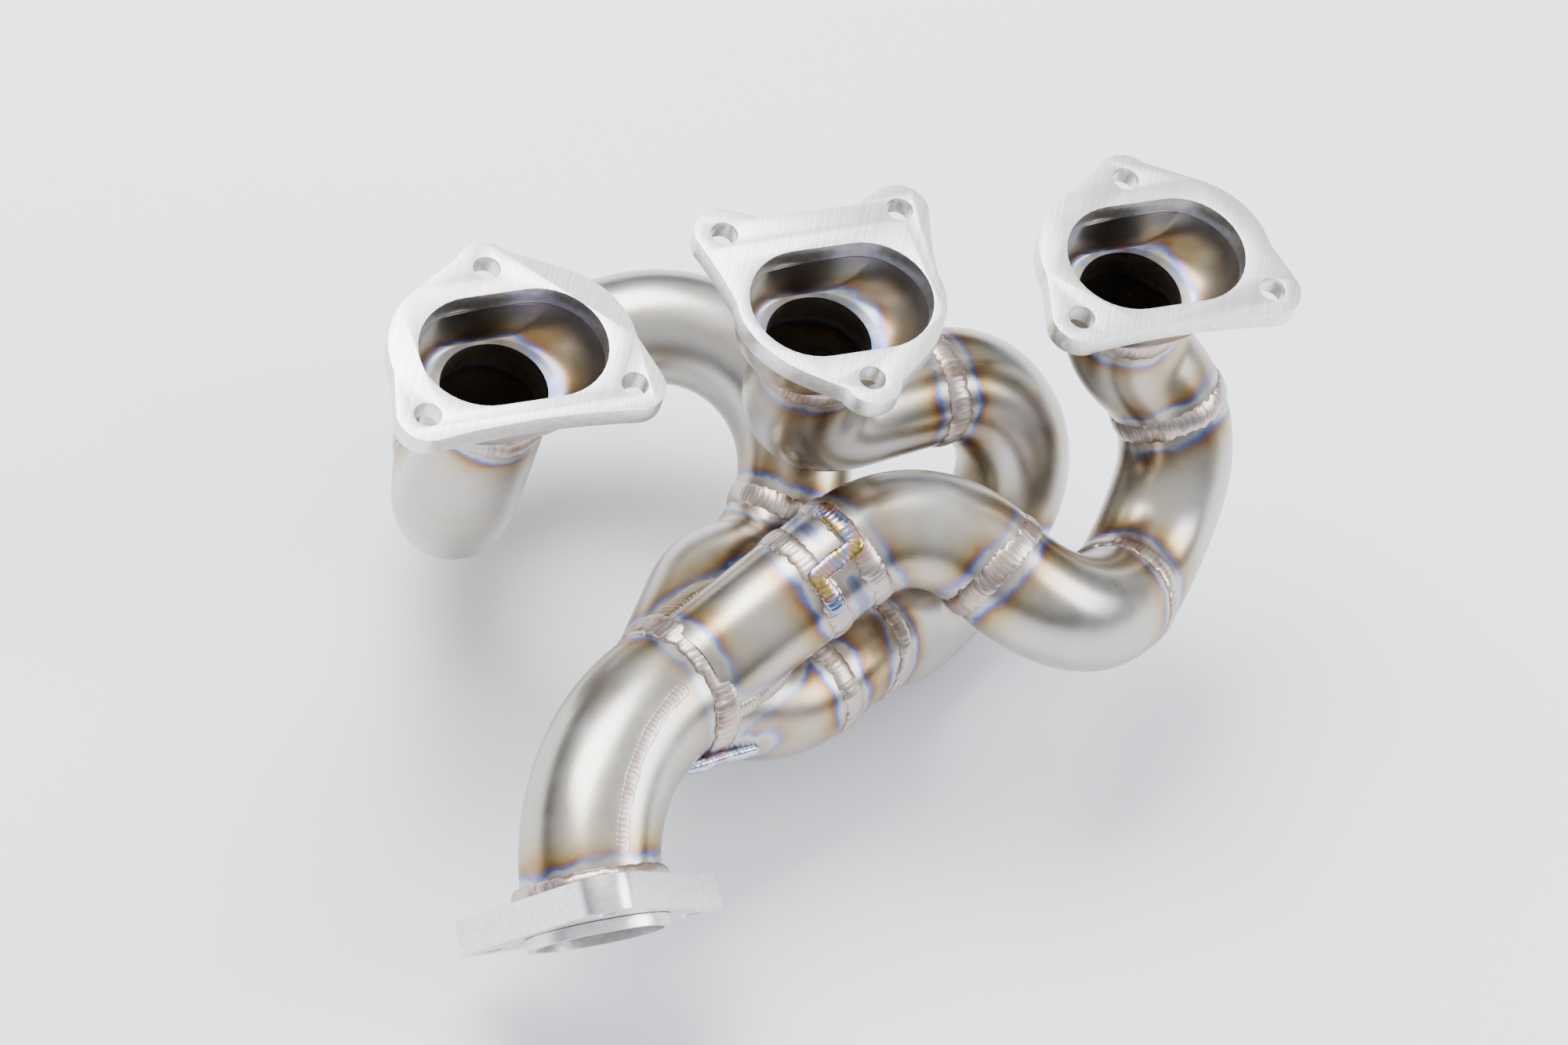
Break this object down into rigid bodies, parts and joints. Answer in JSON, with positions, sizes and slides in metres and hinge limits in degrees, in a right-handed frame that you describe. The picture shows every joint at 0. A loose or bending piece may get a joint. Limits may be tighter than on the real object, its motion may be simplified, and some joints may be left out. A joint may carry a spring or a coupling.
{
  "type": "exhaust manifold",
  "caption": "Welded tubular exhaust manifold: flanged oval ports, bent runners that cross into a merged collector, and an elbow to a triangular outlet flange.",
  "frame": {"origin": "centre of the bounding box at its lowest point, which is the underside of the second runner", "axes": "+Z out of the port faces, +X along the row of ports, -Y towards the outlet flange"},
  "size_m": [0.3296, 0.269, 0.1776],
  "materials": {
    "flange_steel": "milled stainless steel, fine straight cutter lines",
    "tube_steel": "satin stainless tube with straw and blue heat tint beside the welds",
    "weld": "rippled weld metal, bronze to grey with blue and purple edges"
  },
  "bodies": {
    "root": {"port_flange_1": "flange_steel", "port_cup_1": "tube_steel", "port_weld_1": "weld", "port_flange_2": "flange_steel", "port_cup_2": "tube_steel", "port_weld_2": "weld", "port_flange_3": "flange_steel", "port_cup_3": "tube_steel", "port_weld_3": "weld", "runner_1_elbow": "tube_steel", "runner_1_weld_1": "weld", "runner_1_return_bend": "tube_steel", "runner_1_weld_2": "weld", "runner_2_elbow": "tube_steel", "runner_2_weld_1": "weld", "runner_2_return_bend": "tube_steel", "runner_2_weld_2": "weld", "runner_2_lower_bend": "tube_steel", "runner_2_weld_3": "weld", "runner_2_sleeve": "tube_steel", "runner_2_weld_4": "weld", "runner_3_elbow": "tube_steel", "runner_3_weld_1": "weld", "runner_3_long_bend": "tube_steel", "runner_3_weld_2": "weld", "runner_3_over_bend": "tube_steel", "runner_3_weld_3": "weld", "runner_3_entry_bend": "tube_steel", "runner_3_weld_4": "weld", "runner_3_sleeve": "tube_steel", "runner_3_weld_5": "weld", "collector_leg_1": "tube_steel", "collector_leg_2": "tube_steel", "collector_leg_3": "tube_steel", "collector_weld": "weld", "valley_weld_31": "weld", "valley_weld_12": "weld", "valley_weld_23": "weld", "tie_weld": "weld", "bridge_weld": "weld", "outlet_elbow": "tube_steel", "outlet_seam_weld": "weld", "outlet_weld": "weld", "outlet_flange": "flange_steel", "outlet_lip_ring": "flange_steel"}
  },
  "joints": []
}
